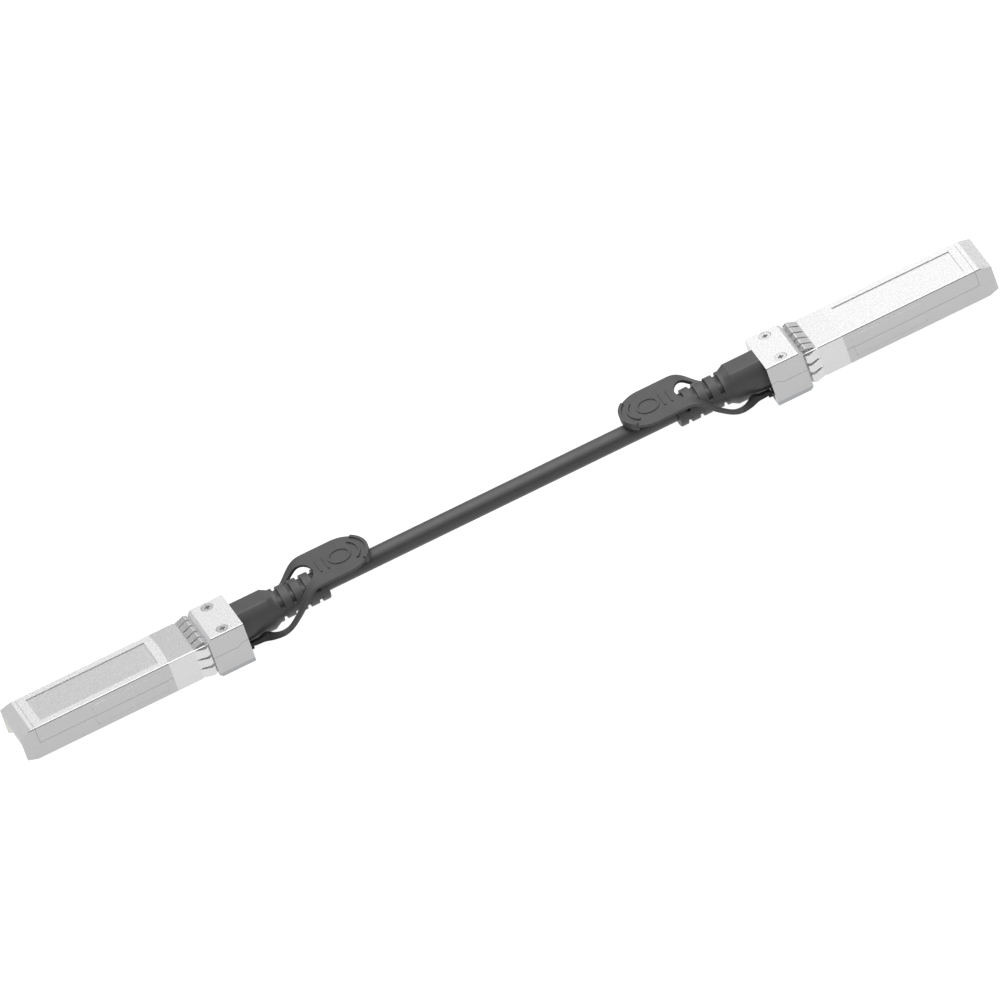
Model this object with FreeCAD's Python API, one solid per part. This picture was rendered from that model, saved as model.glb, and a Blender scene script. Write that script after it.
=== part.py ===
"""Direct attach copper cable: a short twin-axial cable with a pluggable module at each end.

Millimetres. X runs along the cable with the middle of the cable at x = 0, Y across it, Z up.
z = 0 is the underside of the two bottom plates that the cable stands on. Every piece is modelled
at the right-hand end, where +X points out of the plug's mouth, and mirrored for the left-hand end.
"""
import FreeCAD, Part
import math
import os

# ---- Driving dimensions -------------------------------------------------------------------------

# Places along the cable, from its middle
head_rear_x = 68.4        # rear face of the head, where the boot butts
head_length = 9.25
body_length = 49.3        # front face of the head to the tip of the nose

# Body and head of the plug
body_width = 13.55
body_height = 8.5
edge_radius = 0.3
head_width = 14.1
head_rise = 1.1           # head above the body
head_drop = 0.6           # head below the body
head_bevel_length = 0.9
head_bevel_height = 1.13
nose_slope_length = 3.0
nose_slope_drop = 0.9
nose_heel_length = 2.85
nose_heel_rise = 1.0

# Parting line between cover and base
parting_height = 4.15     # above the body's underside
parting_step = 0.75       # the line steps up near the head's rear
parting_step_start = 1.7  # from the head's rear face
parting_step_run = 1.1
cover_setback = 4.1       # cover's front edge behind the tip
cover_corner_radius = 0.5
seam_gap = 0.06

# Label recess and side pads
recess_rear_gap = 1.95    # behind the recess, to the clip's front edge
recess_length = 30.75
recess_width = 9.7
recess_depth = 0.22
pad_length = 18.4
pad_proud = 0.1
pad_below_top = 1.4
pad_above_bottom = 1.5
pad_corner = 0.6
pad_groove = 0.1          # fine groove along each pad's lower edge
pad_groove_hook = 0.7     # its ends turn up by this much

# Mouth of the plug
skirt_wall = 0.7
mouth_depth = 10.4
mouth_roof_above_card = 2.0
bulkhead_wall = 1.25
cavity_setback = 2.0      # room over the card starts this far in front of the head
channel_overlap = 0.5     # the head's channel runs on into it

# Paddle card
card_width = 9.2
card_thickness = 1.0
card_height = 2.25        # its underside above the body's underside
card_setback = 3.2        # its front edge behind the tip
card_length = 41.75
card_side_gap = 0.05
card_ledge = 0.6
card_underside_space = 0.85
cover_roof = 1.6
cover_side_wall = 1.575
hold_down_rib = 0.55
hold_down_gap = 0.05

# Contacts and parts on the card
contact_count = 10
contact_pitch = 0.8
contact_width = 0.5
contact_length = 2.2
contact_setback = 0.4
plating = 0.05
chip_length = 3.0
chip_width = 4.4
chip_height = 1.0
chip_standoff = 0.1
chip_setback = 20.0       # middle of the chip behind the card's front edge
lead_count = 4
lead_pitch = 0.65
lead_width = 0.25
lead_thickness = 0.15
lead_reach = 0.8
capacitor_size = (1.0, 0.5, 0.5)
capacitor_count = 4
capacitor_pitch = 1.6
capacitor_setback = 9.6

# Cable
cable_diameter = 4.8
cable_axis_height = 5.05  # above the body's underside
braid_thickness = 0.2
ferrule_wall = 0.35
ferrule_length = 3.6
ferrule_lead = 1.2        # ferrule's rear end to the end of the jacket
ferrule_gap = 0.25        # left round the ferrule and behind it
saddle_gap = 0.02
saddle_width = 2.0

# Twin-axial pairs and their wires
pair_width = 2.2
pair_height = 1.3
pair_corner = 0.58
pair_spacing_at_cable = 2.5
pair_spacing_at_card = 4.4
pair_on_card = 3.5
wire_radius = 0.2
wire_spacing = 1.1
wire_length = 2.45
wire_rise = 0.02          # solder under each wire
solder_pad_length = 1.6
solder_pad_width = 0.8

# Moulded boot
block_width = 8.9         # across the bulging sides, at mid-height
block_height = 9.0
block_flat = 4.9          # flat part of its top and of its underside
block_edge = 0.8
block_length = 7.82
block_taper = 1.6
collar_diameter = 8.36
rib_diameter = 8.1
groove_core = 5.8         # rounded square that the grooves leave around the cable
groove_core_corner = 1.7
groove_width = 1.12
groove_pitch = 3.085
groove_count = 4
first_groove = 10.86      # from the head's rear face to the middle of the first groove
boot_length = 22.6
groove_web = 1.8          # height of the web left at each side between two grooves
boot_rear_rounding = 0.4
neck_size = 6.5
neck_corner = 2.0
neck_gap = 0.05
rear_wall = 1.2
flange_width = 8.2
flange_height = 7.6
flange_corner = 1.5
flange_thickness = 0.95

# Spring-finger band
clip_thickness = 0.12
clip_length = 10.4        # from the head's front face to the band's front edge
clip_tip_gap = 0.45
clip_root = 3.95          # from the head's front face to the root of the fingers
clip_bow = 0.45
finger_crest = 1.0        # where the finger's two slopes would meet
finger_crest_x = 1.2      # from the head's front face
finger_tip_height = 0.6   # of the crest
finger_bend = 0.25        # from the root to the start of the ramp
bend_radius = 0.35
top_row_width = 12.5
top_finger_pitch = 2.65
top_finger_count = 5
top_slits = (0.35, 0.65)    # width at the root and at the tip
side_row_width = 7.8
side_finger_pitch = 2.7
side_finger_count = 3
side_slits = (0.4, 0.92)
bottom_finger_crest = 0.5
bottom_window = 7.0

# Screws
screw_from_rear = 4.6
screw_spacing = 10.0
screw_head_diameter = 2.8
screw_shank_diameter = 1.6
screw_length = 7.0
screw_clearance = 0.05
screw_sunk = 0.1          # head below the cover's face
screw_recess_span = 1.35
screw_recess_slot = 0.5
screw_recess_depth = 0.6

# Bottom plate
plate_thickness = 1.0
plate_bevel_length = 0.75
plate_bevel_height = 0.7
stud_diameter = 0.8
stud_gap = 0.02
stud_inset = 0.6
stud_end_inset = 1.6

# Latch boss, slider and springs
boss_from_tip = 45.0      # the boss's shoulder behind the tip
boss_length = 2.6
boss_width = 2.6
boss_height = 0.45
slider_thickness = 0.4
slider_gap = 0.05
slider_side_gap = 0.1
slider_height = 0.7       # its underside above the bottom plate
slider_width = 11.5
tine_width = 1.5
tine_gap = 0.15
tine_tip_from_boss = 5.05  # tip of a tine in front of the boss's shoulder
tine_hump_length = 2.4
tine_hump_ramp = 0.7
tine_hump_depth = 0.5
pull_travel = 2.5
spring_diameter = 1.4
spring_wire = 0.22
spring_coils = 7
spring_slack = 1.06       # left between the coils when the tab is fully pulled
spring_spacing = 8.6
spring_window_gap = 0.1
spring_post = 0.6
spring_post_setback = 0.9  # behind the head's rear wall
slider_shoulder = 1.0     # metal in front of each spring window
tongue_width = 0.9
tongue_outer = 8.7        # across both rear tongues
tongue_reach = 0.95       # out of the head, into the pull tab

# Pull tab
tab_width = 14.14
tab_thickness = 0.7
tab_gap = 0.06            # plate above the boot's ribs
tab_from_head = 28.05     # centre of the rounded end to the head's rear face
tab_hole_from_head = 16.25
tab_hole_diameter = 9.4
rim_thickness = 0.75
rim_half_angle = 47.0
rim_above = 0.4
rim_below = 0.75
rim_proud = 0.13
grip_rib_height = 0.22
grip_arc_height = 0.36
grip_arc_radius = 4.9
grip_rib_width = 0.48
grip_ring_radius = 2.6
grip_bar_length = 5.3
grip_bar_places = (3.65, 5.55)
lug_length = 1.0
lug_width = 1.2
lug_outer = 9.0           # across both lugs
lug_gap = 0.1
lug_below_tongue = 0.3
lug_height = 1.6
lug_corner = 0.25
arm_notch_reach = 4.15    # the arms start this far behind the middle of the tab's hole

# Arm of the tab where it leaves the plate: distance in front of the arm's start, middle height
# below the plate's, inner reach past the hole's radius, thickness
arm_from_plate = (
    (0.0, 0.0, -2.49, 0.7),
    (0.3, 0.006, -2.0, 0.7),
    (0.7, 0.04, -1.51, 0.7),
    (1.2, 0.13, -1.04, 0.7),
    (1.8, 0.34, -0.63, 0.71),
    (2.5, 0.72, -0.3, 0.73),
    (3.3, 1.36, -0.08, 0.76),
    (4.5, 2.6, 0.15, 0.8),
)

# Arm of the tab where it runs beside the boot: distance behind the head's rear face,
# middle height below the cable's axis, inner reach from the middle plane, outer face's distance
# inside the tab's edge, thickness
arm_beside_boot = (
    (14.4, -0.15, 5.45, 0.0, 0.82),
    (13.0, 1.1, 5.8, 0.0, 0.84),
    (11.5, 2.3, 5.95, 0.0, 0.86),
    (10.0, 3.15, 6.0, 0.0, 0.9),
    (8.3, 3.51, 5.85, 0.07, 1.05),
    (7.2, 3.62, 5.4, 0.37, 1.1),
    (6.0, 3.5, 4.9, 0.82, 1.5),
    (5.0, 3.33, 4.4, 1.27, 1.95),
    (4.0, 3.52, 4.05, 1.72, 1.65),
    (3.0, 3.85, 3.75, 2.12, 1.2),
    (2.1, 4.04, 3.54, 2.45, 1.2),
)
arm_end_thickness = 0.9

# ---- Heights and places worked out from them ----------------------------------------------------

V = FreeCAD.Vector
far = 400.0               # reach of the cutting blocks past the part
overlap = 0.3             # how far solids that are joined run into each other
touch = 0.01              # the same where they meet end to end

head_front_x = head_rear_x + head_length
tip_x = head_front_x + body_length
head_bottom_z = plate_thickness
body_bottom_z = head_bottom_z + head_drop
body_top_z = body_bottom_z + body_height
head_top_z = body_top_z + head_rise
screw_top_z = head_top_z - screw_sunk
parting_z = body_bottom_z + parting_height
axis_z = body_bottom_z + cable_axis_height
cover_front_x = tip_x - cover_setback
mouth_back_x = tip_x - mouth_depth
bulkhead_back_x = mouth_back_x - bulkhead_wall
card_bottom_z = body_bottom_z + card_height
card_top_z = card_bottom_z + card_thickness
card_front_x = tip_x - card_setback
card_rear_x = card_front_x - card_length
clip_front_x = head_front_x + clip_length
recess_rear_x = clip_front_x + recess_rear_gap
slider_z = plate_thickness + slider_height
slider_top_z = slider_z + slider_thickness
slider_roof_z = slider_top_z + slider_gap
spring_z = slider_z + slider_thickness / 2
spring_roof_z = spring_z + spring_diameter / 2 + slider_side_gap
cable_radius = cable_diameter / 2
ferrule_inner = cable_radius + braid_thickness
ferrule_outer = ferrule_inner + ferrule_wall
ferrule_rear_x = head_rear_x + rear_wall + flange_thickness + ferrule_gap
jacket_end_x = ferrule_rear_x + ferrule_lead
saddle_rear_x = ferrule_rear_x + (ferrule_length - saddle_width) / 2
head_channel = 2 * (ferrule_outer + ferrule_gap)
boot_end_x = head_rear_x - boot_length
tab_z = axis_z + rib_diameter / 2 + tab_gap
tab_top_z = tab_z + tab_thickness
tab_end_x = head_rear_x - tab_from_head
tab_hole_x = head_rear_x - tab_hole_from_head
spring_length = pull_travel + spring_coils * spring_wire + spring_slack
spring_post_x = head_rear_x + rear_wall + spring_post_setback
spring_rear_x = spring_post_x + spring_post
window_rear_x = spring_post_x - spring_window_gap
window_front_x = spring_rear_x + spring_length
boss_shoulder_x = tip_x - boss_from_tip
tine_tip_x = boss_shoulder_x + tine_tip_from_boss
lug_front_x = head_rear_x - lug_gap
lug_rear_x = lug_front_x - lug_length
lug_inner_y = lug_outer / 2 - lug_width
lug_bottom_z = slider_z - lug_below_tongue
lug_top_z = lug_bottom_z + lug_height
card_cavity_x = head_front_x + cavity_setback


# ---- Small helpers ------------------------------------------------------------------------------

def box(x0, x1, y0, y1, z0, z1):
    """A box between two corners."""
    return Part.makeBox(x1 - x0, y1 - y0, z1 - z0, V(x0, y0, z0))


def centred_box(x0, x1, width, z0, z1):
    """A box that is centred on the cable's middle plane."""
    return box(x0, x1, -width / 2, width / 2, z0, z1)


def cylinder_x(radius, x0, x1, y=0.0, z=axis_z):
    """A cylinder along X."""
    return Part.makeCylinder(radius, x1 - x0, V(x0, y, z), V(1, 0, 0))


def cylinder_z(radius, x, y, z0, z1):
    """A cylinder along Z."""
    return Part.makeCylinder(radius, z1 - z0, V(x, y, z0))


def side_profile(points, width):
    """A closed outline in X and Z, extruded across the plug and centred on its middle plane."""
    corners = [V(x, -width / 2, z) for x, z in points]
    wire = Part.makePolygon(corners + corners[:1])
    return Part.Face(wire).extrude(V(0, width, 0))


def rounded_section(x, width, height, corner, z=axis_z, y=0.0):
    """A rectangle with round corners in the plane at x, as a wire of four lines and four arcs."""
    edges = []
    turn = math.sqrt(0.5) * corner
    a = width / 2
    b = height / 2
    for sign_y, sign_z, swap in ((1, 1, False), (-1, 1, True), (-1, -1, False), (1, -1, True)):
        centre_y = y + sign_y * (a - corner)
        centre_z = z + sign_z * (b - corner)
        on_side = V(x, centre_y + sign_y * corner, centre_z)
        on_top = V(x, centre_y, centre_z + sign_z * corner)
        middle = V(x, centre_y + sign_y * turn, centre_z + sign_z * turn)
        start, end = (on_top, on_side) if swap else (on_side, on_top)
        edges.append((start, middle, end))
    wire = []
    for index, (start, middle, end) in enumerate(edges):
        wire.append(Part.Arc(start, middle, end).toShape())
        wire.append(Part.LineSegment(end, edges[(index + 1) % 4][0]).toShape())
    return Part.Wire(wire)


def rounded_bar(x0, x1, width, height, corner, z=axis_z):
    """A straight bar along X with a rounded rectangular section."""
    return Part.Face(rounded_section(x0, width, height, corner, z)).extrude(V(x1 - x0, 0, 0))


def cut_all(shape, tools):
    """Cut several tools out of a shape."""
    for tool in tools:
        shape = shape.cut(tool)
    return shape


def fuse_all(shapes):
    """Join overlapping shapes into one solid."""
    result = shapes[0]
    for shape in shapes[1:]:
        result = result.fuse(shape)
    return result.removeSplitter()


def both_sides(shape):
    """A shape and its mirror image across the cable's middle plane."""
    return [shape, shape.mirror(V(0, 0, 0), V(0, 1, 0))]


def ring_sector(inner, outer, half_angle, x, z0, z1):
    """Part of a ring about a vertical axis, open towards +X and centred on the -X direction."""
    start = V(x + inner, 0, z0)
    face = Part.Face(Part.makePolygon([start, V(x + outer, 0, z0), V(x + outer, 0, z1),
                                       V(x + inner, 0, z1), start]))
    sector = face.revolve(V(x, 0, 0), V(0, 0, 1), 2 * half_angle)
    return sector.rotate(V(x, 0, 0), V(0, 0, 1), 180 - half_angle)


def single(shape):
    """The only solid in a shape."""
    if len(shape.Solids) != 1:
        raise ValueError(f"expected one solid, found {len(shape.Solids)}")
    return shape.Solids[0]


# ---- Plug shells --------------------------------------------------------------------------------

def plug_envelope():
    """Outside of body, nose and head together, with the recess that the spring band sits in."""
    body = side_profile([
        (head_rear_x + 1, body_bottom_z),
        (tip_x - nose_heel_length, body_bottom_z),
        (tip_x, body_bottom_z + nose_heel_rise),
        (tip_x, body_top_z - nose_slope_drop),
        (tip_x - nose_slope_length, body_top_z),
        (head_rear_x + 1, body_top_z),
    ], body_width)
    body = body.common(rounded_bar(head_rear_x, tip_x + 1, body_width, body_height, edge_radius,
                                   body_bottom_z + body_height / 2))
    pads = side_pads()
    body = fuse_all([body, pads])
    body = cut_all(body, [clip_seat()] + pad_grooves())
    head = side_profile([
        (head_rear_x, head_bottom_z),
        (head_front_x, head_bottom_z),
        (head_front_x, head_top_z - head_bevel_height),
        (head_front_x - head_bevel_length, head_top_z),
        (head_rear_x, head_top_z),
    ], head_width)
    long_edges = [edge for edge in head.Edges
                  if abs(edge.tangentAt(edge.FirstParameter).x) > 0.9 and edge.BoundBox.ZMin > head_bottom_z]
    head = head.makeFillet(edge_radius, long_edges)
    return fuse_all([body, head])


def side_pads():
    """One bar across the body whose ends stand just proud of both sides."""
    height = body_height - pad_below_top - pad_above_bottom
    middle_z = body_bottom_z + pad_above_bottom + height / 2
    front_x = recess_rear_x + pad_length
    width = body_width + 2 * pad_proud
    bar = centred_box(recess_rear_x, front_x, width, middle_z - height / 2, middle_z + height / 2)
    upright = [edge for edge in bar.Edges if abs(edge.tangentAt(edge.FirstParameter).y) > 0.9]
    return bar.makeFillet(pad_corner, upright)


def pad_grooves():
    """Cutters for the groove along the lower edge of each pad, with ends that turn up."""
    low = body_bottom_z + pad_above_bottom
    front_x = recess_rear_x + pad_length
    face = body_width / 2 + pad_proud
    run = box(recess_rear_x, front_x, face - pad_groove, far, low, low + pad_groove)
    rear = box(recess_rear_x, recess_rear_x + pad_groove, face - pad_groove, far, low, low + pad_groove_hook)
    front = box(front_x - pad_groove, front_x, face - pad_groove, far, low, low + pad_groove_hook)
    return both_sides(fuse_all([run, rear, front]))


def clip_sections(x0, x1):
    """Outer and inner skin of the band that wraps the body."""
    middle_z = body_bottom_z + body_height / 2
    outer = rounded_bar(x0, x1, body_width, body_height, edge_radius, middle_z)
    inner = rounded_bar(x0, x1, body_width - 2 * clip_thickness, body_height - 2 * clip_thickness,
                        edge_radius - clip_thickness, middle_z)
    return outer, inner


def clip_bow_tool():
    """What the bowed front edge leaves off the band's top panel."""
    half = body_width / 2
    radius = (half ** 2 + clip_bow ** 2) / (2 * clip_bow)
    centre_x = clip_front_x - clip_bow + radius
    return cylinder_z(radius, centre_x, 0, body_top_z - clip_thickness, body_top_z + 1)


def clip_seat():
    """Shallow step in the body, as deep as the band is thick."""
    outer, inner = clip_sections(head_front_x - 1, clip_front_x)
    return outer.cut(inner).cut(clip_bow_tool())


def cover_region(growth):
    """Side outline of the cover, larger all round by growth."""
    front = cover_front_x + growth
    low = parting_z - growth
    high = low + parting_step
    step_front = head_rear_x + parting_step_start + parting_step_run - growth / 2
    step_rear = head_rear_x + parting_step_start - growth / 2
    far_rear = head_rear_x - 1
    block = side_profile([
        (far_rear, high),
        (step_rear, high),
        (step_front, low),
        (front, low),
        (front, far),
        (far_rear, far),
    ], far)
    corner = [edge for edge in block.Edges
              if abs(edge.BoundBox.XMin - front) < 1e-6 and edge.BoundBox.ZMax < low + 1e-3]
    return block.makeFillet(cover_corner_radius, corner)


def mouth():
    """Space that the host's connector enters, open at the nose and underneath."""
    return centred_box(mouth_back_x, far, body_width - 2 * skirt_wall, -far,
                       card_top_z + mouth_roof_above_card)


def neck_passage():
    """Hole in the head's rear wall for the boot's neck, and the slot behind it for the flange."""
    neck = rounded_bar(head_rear_x - 1, head_rear_x + rear_wall + 1, neck_size + 2 * neck_gap,
                       neck_size + 2 * neck_gap, neck_corner)
    slot_front_x = head_rear_x + rear_wall + flange_thickness + 2 * neck_gap
    slot = rounded_bar(head_rear_x + rear_wall, slot_front_x, flange_width + 2 * neck_gap,
                       flange_height + 2 * neck_gap, flange_corner)
    return neck.fuse(slot)


def head_channel_space():
    """Room in the head for the ferrule and the pairs, less the saddle that grips the ferrule."""
    rear = head_rear_x + rear_wall
    front = card_cavity_x + channel_overlap
    half = head_channel / 2
    space = centred_box(rear, front, head_channel, axis_z - half, axis_z + half)
    saddle = centred_box(saddle_rear_x, saddle_rear_x + saddle_width, far, -far, far)
    bore = cylinder_x(ferrule_outer + saddle_gap, rear, front)
    return space.cut(saddle).fuse(bore)


def slider_space():
    """Channel under the base for the slider, its tines and its springs."""
    roof = slider_roof_z
    width = slider_width + 2 * slider_side_gap
    front_x = window_front_x + slider_shoulder + slider_side_gap
    in_head = centred_box(head_rear_x - 1, front_x, width, head_bottom_z - 1, roof)
    tine_span = boss_width + 2 * tine_gap + 2 * tine_width + 2 * slider_side_gap
    under_body = centred_box(front_x - 1, tine_tip_x + slider_side_gap, tine_span,
                             slider_z - slider_gap, roof)
    under_open = centred_box(head_front_x, tine_tip_x + slider_side_gap, tine_span, head_bottom_z - 1, roof)
    channels = under_body.fuse(under_open)
    land = centred_box(head_front_x + 1, tine_tip_x + 1, boss_width, 0, far)
    springs = []
    for side in (-1, 1):
        y = side * spring_spacing / 2
        half = spring_diameter / 2 + slider_side_gap
        springs.append(box(spring_rear_x, window_front_x, y - half, y + half, 0, spring_roof_z))
    return fuse_all([in_head] + springs + [channels.cut(land)])


def latch_boss():
    """Fixed wedge under the body: square towards the head, ramped towards the nose."""
    return side_profile([
        (boss_shoulder_x, body_bottom_z + boss_height),
        (boss_shoulder_x, body_bottom_z - boss_height),
        (boss_shoulder_x + boss_length / 3, body_bottom_z - boss_height),
        (boss_shoulder_x + boss_length, body_bottom_z),
        (boss_shoulder_x + boss_length, body_bottom_z + boss_height),
    ], boss_width)


def screw_places():
    """The two screws' x and y."""
    return [(head_rear_x + screw_from_rear, side * screw_spacing / 2) for side in (-1, 1)]


def stud_places():
    """The four studs that hold the bottom plate."""
    y = head_width / 2 - stud_inset
    return [(x, side * y) for side in (-1, 1)
            for x in (head_rear_x + stud_end_inset, head_front_x - stud_end_inset)]


def base_shell():
    """Cast lower half with the nose, card ledges, latch boss and the slider's channel."""
    shell = plug_envelope().cut(cover_region(seam_gap))
    ledge_width = card_width - 2 * card_ledge
    tools = [
        centred_box(card_cavity_x, bulkhead_back_x, ledge_width,
                    card_bottom_z - card_underside_space, card_bottom_z + 1),
        centred_box(card_cavity_x, mouth_back_x + 1, card_width + 2 * card_side_gap,
                    card_bottom_z, parting_z),
        mouth(),
        neck_passage(),
        head_channel_space(),
        slider_space(),
    ]
    shell = cut_all(shell, tools)
    for x, y in screw_places():
        bottom = screw_top_z - screw_length - screw_clearance
        shell = shell.cut(cylinder_z(screw_shank_diameter / 2, x, y, bottom, far))
    additions = [latch_boss()]
    for side in (-1, 1):
        y = side * spring_spacing / 2
        half = spring_diameter / 2
        additions.append(box(spring_post_x, spring_rear_x, y - half, y + half,
                             head_bottom_z, spring_roof_z + overlap))
    for x, y in stud_places():
        additions.append(cylinder_z(stud_diameter / 2, x, y, 0, head_bottom_z + overlap))
    return single(fuse_all([shell] + additions))


def top_cover():
    """Cast upper half with the label recess, hold-down ribs and countersunk screw holes."""
    shell = plug_envelope().common(cover_region(0))
    roof_z = body_top_z - cover_roof
    inner_width = body_width - 2 * cover_side_wall
    recess = centred_box(recess_rear_x, recess_rear_x + recess_length, recess_width,
                         body_top_z - recess_depth, far)
    shell = cut_all(shell, [
        centred_box(card_cavity_x, bulkhead_back_x, inner_width, 0, roof_z),
        mouth(),
        neck_passage(),
        head_channel_space(),
        recess,
    ])
    sink = (screw_head_diameter - screw_shank_diameter) / 2
    for x, y in screw_places():
        radius = screw_shank_diameter / 2 + screw_clearance
        hole = cylinder_z(radius, x, y, 0, far)
        countersink = Part.makeCone(radius, radius + sink + screw_sunk, sink + screw_sunk,
                                    V(x, y, head_top_z - sink - screw_sunk))
        shell = shell.cut(hole).cut(countersink)
    rib_outer = card_width / 2 - hold_down_gap
    ribs = []
    for low, high in ((-rib_outer, hold_down_rib - rib_outer), (rib_outer - hold_down_rib, rib_outer)):
        ribs.append(box(recess_rear_x + 2, bulkhead_back_x - 2, low, high, card_top_z + hold_down_gap,
                        roof_z + overlap))
    tongue = centred_box(bulkhead_back_x + hold_down_gap, mouth_back_x - hold_down_gap, 2 * rib_outer,
                         card_top_z + hold_down_gap, roof_z)
    return single(fuse_all([shell, tongue] + ribs))


def emi_clip():
    """Stamped band around the body whose fingers bow outwards in front of the head."""
    root_x = head_front_x + clip_root
    outer, inner = clip_sections(root_x, clip_front_x)
    band = outer.cut(inner).cut(clip_bow_tool())
    band = band.cut(centred_box(root_x - 1, clip_front_x + 1, bottom_window, 0, body_bottom_z + 1))
    middle_z = body_bottom_z + body_height / 2
    top = finger_row(finger_crest, top_row_width, top_finger_pitch, top_finger_count, top_slits)
    top.translate(V(0, 0, body_top_z))
    side = finger_row(finger_crest, side_row_width, side_finger_pitch, side_finger_count, side_slits)
    side = side.rotate(V(0, 0, 0), V(1, 0, 0), -90)
    side.translate(V(0, body_width / 2, middle_z))
    bottom_width = (top_row_width - bottom_window) / 2
    bottom = finger_row(bottom_finger_crest, bottom_width, bottom_width, 1, top_slits)
    bottom = bottom.rotate(V(0, 0, 0), V(1, 0, 0), 180)
    bottom.translate(V(0, (bottom_window + bottom_width) / 2, body_bottom_z))
    return single(fuse_all([band, top] + both_sides(side) + both_sides(bottom)))


def finger_row(crest, width, pitch, count, slits):
    """Sheet bent up into a ramp and down again towards its tip, slit into fingers; z = 0 on top."""
    root_x = head_front_x + clip_root
    middle_z = -clip_thickness / 2
    strip = bent_sheet([
        V(root_x, 0, middle_z),
        V(root_x - finger_bend, 0, middle_z),
        V(head_front_x + finger_crest_x, 0, middle_z + crest),
        V(head_front_x + clip_tip_gap, 0, middle_z + crest * finger_tip_height),
    ], bend_radius, clip_thickness, width)
    slit_end_x = root_x - finger_bend
    slit_front_x = head_front_x - clip_tip_gap
    root_slit, tip_slit = slits
    for index in range(round(count) - 1):
        y = (index + 1 - round(count) / 2) * pitch
        corners = [V(slit_end_x, y - root_slit / 2, -far), V(slit_front_x, y - tip_slit / 2, -far),
                   V(slit_front_x, y + tip_slit / 2, -far), V(slit_end_x, y + root_slit / 2, -far)]
        slit = Part.Face(Part.makePolygon(corners + corners[:1])).extrude(V(0, 0, 2 * far))
        strip = strip.cut(slit).cut(cylinder_z(root_slit / 2, slit_end_x, y, -far, far))
    return strip


def bent_sheet(path, radius, thickness, width):
    """Sheet folded with round bends along a path in X and Z, centred on the middle plane."""
    edges = []
    ends = []
    for side in (-1, 1):
        offset = side * thickness / 2
        along = (path[1] - path[0]).normalize()
        last = path[0] + V(-along.z, 0, along.x) * offset
        ends.append(last)
        for index in range(1, len(path) - 1):
            corner = path[index]
            along = (corner - path[index - 1]).normalize()
            onward = (path[index + 1] - corner).normalize()
            setback = radius * math.tan(along.getAngle(onward) / 2)
            start = corner - along * setback + V(-along.z, 0, along.x) * offset
            end = corner + onward * setback + V(-onward.z, 0, onward.x) * offset
            turn = 1 if along.x * onward.z - along.z * onward.x > 0 else -1
            centre = corner - along * setback + V(-along.z, 0, along.x) * turn * radius
            middle = centre + (corner - centre).normalize() * (radius - turn * offset)
            edges.append(Part.LineSegment(last, start).toShape())
            edges.append(Part.Arc(start, middle, end).toShape())
            last = end
        tip = path[-1] + V(-onward.z, 0, onward.x) * offset
        edges.append(Part.LineSegment(last, tip).toShape())
        ends.append(tip)
    edges.append(Part.LineSegment(ends[0], ends[2]).toShape())
    edges.append(Part.LineSegment(ends[1], ends[3]).toShape())
    outline = Part.Wire(Part.__sortEdges__(edges))
    sheet = Part.Face(outline).extrude(V(0, width, 0))
    sheet.translate(V(0, -width / 2, 0))
    return sheet


def cover_screws():
    """Two countersunk screws with cross recesses, threads left plain."""
    sink = (screw_head_diameter - screw_shank_diameter) / 2
    screws = []
    for x, y in screw_places():
        neck_z = screw_top_z - sink
        shank = cylinder_z(screw_shank_diameter / 2, x, y, screw_top_z - screw_length, neck_z)
        head = Part.makeCone(screw_shank_diameter / 2, screw_head_diameter / 2, sink, V(x, y, neck_z))
        screw = fuse_all([shank, head])
        bars = ((screw_recess_span, screw_recess_slot), (screw_recess_slot, screw_recess_span))
        for span_x, span_y in bars:
            screw = screw.cut(box(x - span_x / 2, x + span_x / 2, y - span_y / 2, y + span_y / 2,
                                  screw_top_z - screw_recess_depth, far))
        screws.append(single(screw))
    return Part.makeCompound(screws)


def bottom_plate():
    """Steel plate under the head, held by four studs, with a raised pad that carries the slider."""
    plate = side_profile([
        (head_rear_x, 0),
        (head_front_x - plate_bevel_length, 0),
        (head_front_x, plate_bevel_height),
        (head_front_x, plate_thickness),
        (head_rear_x, plate_thickness),
    ], head_width)
    pad_width = spring_spacing - spring_diameter - 4 * slider_side_gap
    pad = centred_box(head_rear_x + rear_wall, head_front_x - 1, pad_width, plate_thickness / 2,
                      slider_z - slider_gap)
    plate = fuse_all([plate, pad])
    for x, y in stud_places():
        plate = plate.cut(cylinder_z(stud_diameter / 2 + stud_gap, x, y, -1, plate_thickness + 1))
    return single(plate)


# ---- Card and cable ends ------------------------------------------------------------------------

def paddle_card():
    """Circuit board with a bevelled front edge that enters the host's connector."""
    bevel = card_thickness / 4
    return side_profile([
        (card_rear_x, card_bottom_z),
        (card_front_x - 2 * bevel, card_bottom_z),
        (card_front_x, card_bottom_z + bevel),
        (card_front_x, card_top_z - bevel),
        (card_front_x - 2 * bevel, card_top_z),
        (card_rear_x, card_top_z),
    ], card_width)


def contact_pads():
    """Gold edge contacts, one row on each face of the card."""
    pads = []
    front = card_front_x - card_thickness / 2 - contact_setback
    for row_z in (card_bottom_z - plating, card_top_z):
        for index in range(round(contact_count)):
            y = (index - (contact_count - 1) / 2) * contact_pitch
            pads.append(box(front - contact_length, front, y - contact_width / 2, y + contact_width / 2,
                            row_z, row_z + plating))
    return Part.makeCompound(pads)


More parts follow.
